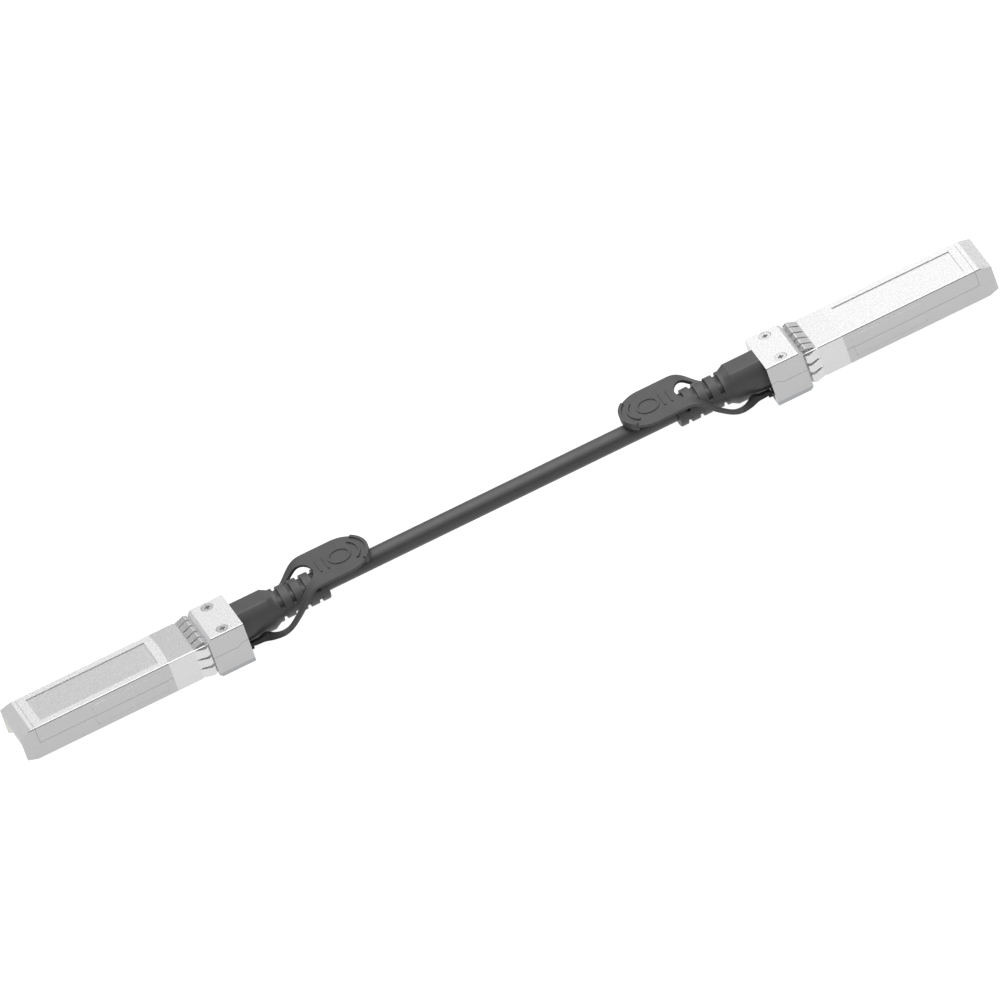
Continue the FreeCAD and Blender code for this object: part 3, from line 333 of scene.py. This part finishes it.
EDGE_SIDE = 6.2 * MM                    # just inside the rounded edges along the bodies' tops
BODY_SIDE = 6.7 * MM                    # just inside the plug bodies' flat sides
REAR_FACE_X = 68.5 * MM                 # just in front of the heads' rear faces
NOSE_X = 123 * MM                       # where the noses begin
SEAT_MARGIN = 1 * MM                    # how far the clip's seat shows behind the clip
TOP_DEPTH = 1.2 * MM                    # what faces up above this depth belongs to the top
EDGE_DEPTH = 0.3 * MM                   # height of the bands that hold the rounded edges
RECESS_DEPTHS = (0.15 * MM, 0.3 * MM)   # the recess's floor lies between these depths
PAD_DEPTH = 1 * MM                      # the side pads start lower than this

# How far a face's normal points along an axis, from 0 to 1.
STRAIGHT, MOSTLY, HALF = 0.9, 0.75, 0.5
EDGE_UP_LEAST, EDGE_UP_MOST = 0.05, 0.85
EDGE_ALONG_MOST = 0.2
SEAT_UP_LEAST = 0.3
FRONT_ALONG_LEAST = 0.3                 # takes in the small slopes around the front faces
SLOPE_ALONG_LEAST = 0.1
RAMP_SIDEWAYS_LEAST = 0.7
RAMP_ALONG_LEAST, RAMP_ALONG_MOST = 0.05, 0.7


def paint_faces(node, material, test):
    """Give the faces that pass a test on their middle and normal another material."""
    node.data.materials.append(material)
    index = len(node.data.materials) - 1
    for face in node.data.polygons:
        if test(face.center, face.normal):
            face.material_index = index


def paint_plug(side):
    """Tell the faces of one plug apart by where they are and which way they face."""
    cover, base, clip, tab = (nodes[f"{side}_{name}"]
                              for name in ("top_cover", "base_shell", "emi_clip", "pull_tab"))
    head_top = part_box(f"{side}_top_cover")[1].z
    body_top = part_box(f"{side}_base_shell")[1].z
    clip_from, clip_to = sorted(abs(corner.x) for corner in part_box(f"{side}_emi_clip"))

    def on_top(centre, normal):
        return normal.z > MOSTLY and centre.z > body_top - TOP_DEPTH

    def on_round_edge(centre, normal):
        near_top = min(abs(centre.z - head_top), abs(centre.z - body_top)) < EDGE_DEPTH
        sloping = EDGE_UP_LEAST < normal.z < EDGE_UP_MOST and abs(normal.x) < EDGE_ALONG_MOST
        return near_top and sloping and abs(centre.y) > EDGE_SIDE

    def on_clip_seat(centre, normal):
        under_clip = clip_from - SEAT_MARGIN < abs(centre.x) < clip_to
        return under_clip and (normal.z > SEAT_UP_LEAST or abs(normal.y) > HALF)

    def on_rear_face(centre, normal):
        return abs(normal.x) > STRAIGHT and abs(centre.x) < REAR_FACE_X

    def on_front_face(centre, normal):
        outward = normal.x * centre.x > FRONT_ALONG_LEAST * abs(centre.x)
        return outward and REAR_FACE_X < abs(centre.x) < clip_from

    def on_pad_end(centre, normal):
        beside = abs(centre.y) > BODY_SIDE and clip_to < abs(centre.x) < NOSE_X
        return beside and abs(normal.x) > HALF

    def on_pad_edge(centre, normal):
        beside = abs(centre.y) > BODY_SIDE and centre.z < body_top - PAD_DEPTH
        return beside and normal.z > HALF

    def in_recess(centre, normal):
        depth_from, depth_to = RECESS_DEPTHS
        return normal.z > STRAIGHT and body_top - depth_to < centre.z < body_top - depth_from

    def on_nose_slope(centre, normal):
        sloping = normal.z > HALF and abs(normal.x) > SLOPE_ALONG_LEAST
        return sloping and abs(centre.x) > NOSE_X

    def in_nose(centre, normal):
        return abs(centre.x) > NOSE_X and normal.y * centre.y < 0 and abs(normal.y) > HALF

    def on_side_ramp(centre, normal):
        sideways = abs(normal.y) > RAMP_SIDEWAYS_LEAST
        return sideways and RAMP_ALONG_LEAST < abs(normal.x) < RAMP_ALONG_MOST

    def on_strap_end(centre, normal):
        return abs(centre.x) > STRAP_SHADE_X

    # A later coat covers an earlier one.
    for shell in (cover, base):
        # Upward faces: finer grain, and painted light that makes them lighter than the sides.
        paint_faces(shell, CAST_TOP_GRAIN_AND_LIGHT, on_top)
        # Painted dark reflection on the lower facets of the rounded top edges.
        paint_faces(shell, EDGE_DARK_REFLECTION, on_round_edge)
        # Painted shade beside the head, painted light under the clip's fingers.
        paint_faces(shell, SEAT_SHADE_AND_LIGHT, on_clip_seat)
        # Painted shade on the heads' rear faces beside the boots.
        paint_faces(shell, REAR_FACE_SHADE, on_rear_face)
        # Painted light on the heads' front faces under the fingers.
        paint_faces(shell, FRONT_FACE_LIGHT, on_front_face)
        # Painted highlight on the side pads' ends.
        paint_faces(shell, PAD_EDGE_HIGHLIGHT, on_pad_end)
    paint_faces(cover, CAST_RECESS, in_recess)
    # Painted highlight on the side pads' upper edges.
    paint_faces(cover, PAD_EDGE_HIGHLIGHT, on_pad_edge)
    # Painted shade on the left nose's slope only.
    if side == "left":
        paint_faces(base, NOSE_SLOPE_SHADE, on_nose_slope)
    # Painted light on the noses' inner walls.
    paint_faces(base, NOSE_INSIDE_LIT, in_nose)
    # The clip's upward faces: finer grain, and painted light.
    paint_faces(clip, SPRING_TOP_GRAIN_AND_LIGHT, on_top)
    # Painted light on the side fingers' ramps.
    paint_faces(clip, SPRING_RAMP_LIT, on_side_ramp)
    # Painted dark reflection along the right clip's rounded top edges only.
    if side == "right":
        paint_faces(clip, EDGE_DARK_REFLECTION, on_round_edge)
    # Painted shade on the straps near the heads.
    paint_faces(tab, STRAP_SHADE, on_strap_end)


for side in SIDES:
    paint_plug(side)


# ---- Painted shadow lines under the side pads ----------------------------------------------------

PAD_REAR_X, PAD_FRONT_X = 90.0 * MM, 108.4 * MM
PAD_FOOT_Z = 3.1 * MM
SHADOW_LINE_WIDTH = 0.22 * MM
SHADOW_LINE_HOOK = 0.4 * MM                  # the shadow line's front end turns up by this much
SHADOW_LINE_Y = 6.785 * MM


def make_pad_shadow_line(side, across):
    """Painted shadow: a dark sheet along the foot of one side pad, with its turned-up end."""
    along = SIDES[side]
    line_z = PAD_FOOT_Z + SHADOW_LINE_WIDTH
    hook_x, hook_z = PAD_FRONT_X - SHADOW_LINE_WIDTH, PAD_FOOT_Z + SHADOW_LINE_HOOK
    outline = ((PAD_REAR_X, PAD_FOOT_Z), (PAD_FRONT_X, PAD_FOOT_Z), (PAD_FRONT_X, hook_z),
               (hook_x, hook_z), (hook_x, line_z), (PAD_REAR_X, line_z))
    corners = [(along * x, across * SHADOW_LINE_Y, z) for x, z in outline]
    faces = [(0, 1, 4, 5), (1, 2, 3, 4)]
    if along * across > 0:
        faces = [face[::-1] for face in faces]
    name = f"{side}_pad_shadow_line_{'far' if across > 0 else 'near'}"
    data = bpy.data.meshes.new(name)
    data.from_pydata(corners, [], faces)
    data.materials.append(PAD_SHADOW_LINE)
    shadow_line = bpy.data.objects.new(name, data)
    scene.collection.objects.link(shadow_line)
    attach(shadow_line, "cable")


# Painted shadow lines below both side pads of each plug.
for side in SIDES:
    for across in (-1, 1):
        make_pad_shadow_line(side, across)


# ---- Floor and light -----------------------------------------------------------------------------

FLOOR_REACH = 3.0                       # from the middle to each edge
FLOOR_GLOW = 0.96                       # the floor shines too, so shadows on it stay faint
FLOOR_GREYS = (0.145, 0.155)
FLOOR_GRAIN = 20 * MM
HORIZON, OVERHEAD = 0.3, 3.9            # brightness of the studio at the horizon and overhead
OVERHEAD_FOCUS = 4.0                    # how closely the brightness gathers overhead
LIGHT_PLACE = Vector((0.229, 0.40, 0.303))
LIGHT_TARGET = Vector((0.1, 0, 0.01))
LIGHT_SIZE = 0.36
LIGHT_POWER = 0.29


def make_floor():
    """A plain pale floor."""
    data = bpy.data.meshes.new("floor")
    signs = ((-1, -1), (1, -1), (1, 1), (-1, 1))
    corners = [(x * FLOOR_REACH, y * FLOOR_REACH, 0) for x, y in signs]
    data.from_pydata(corners, [], [(0, 1, 2, 3)])
    floor = bpy.data.objects.new("floor", data)
    scene.collection.objects.link(floor)
    shader = Shader("floor", Roughness=0.9, Specular_IOR_Level=0.1,
                    Emission_Strength=FLOOR_GLOW, Emission_Color=(1, 1, 1, 1))
    shader.colour(shader.noise(FLOOR_GRAIN), *(grey(level) for level in FLOOR_GREYS))
    data.materials.append(shader.material)
    floor.visible_diffuse = False


def make_light():
    """A soft square light behind the right plug."""
    data = bpy.data.lights.new("key", "AREA")
    data.shape = "SQUARE"
    data.size = LIGHT_SIZE
    data.energy = LIGHT_POWER
    light = bpy.data.objects.new("key", data)
    light.location = LIGHT_PLACE
    light.rotation_euler = (LIGHT_TARGET - LIGHT_PLACE).to_track_quat("-Z", "Y").to_euler()
    scene.collection.objects.link(light)


def make_world():
    """A studio that brightens from the horizon to straight overhead."""
    world = bpy.data.worlds.new("studio")
    world.use_nodes = True
    tree = world.node_tree
    background = tree.nodes["Background"]
    direction = tree.nodes.new("ShaderNodeTexCoord")
    parts = tree.nodes.new("ShaderNodeSeparateXYZ")
    tree.links.new(direction.outputs["Generated"], parts.inputs["Vector"])
    height = tree.nodes.new("ShaderNodeMath")
    height.operation = "POWER"
    height.use_clamp = True
    height.inputs[1].default_value = OVERHEAD_FOCUS
    tree.links.new(parts.outputs["Z"], height.inputs[0])
    level = tree.nodes.new("ShaderNodeMapRange")
    level.inputs["To Min"].default_value = HORIZON
    level.inputs["To Max"].default_value = OVERHEAD
    tree.links.new(height.outputs["Value"], level.inputs["Value"])
    tree.links.new(level.outputs["Result"], background.inputs["Strength"])
    background.inputs["Color"].default_value = (1, 1, 1, 1)
    scene.world = world


make_floor()
make_world()
make_light()
scene.view_settings.view_transform = "Standard"
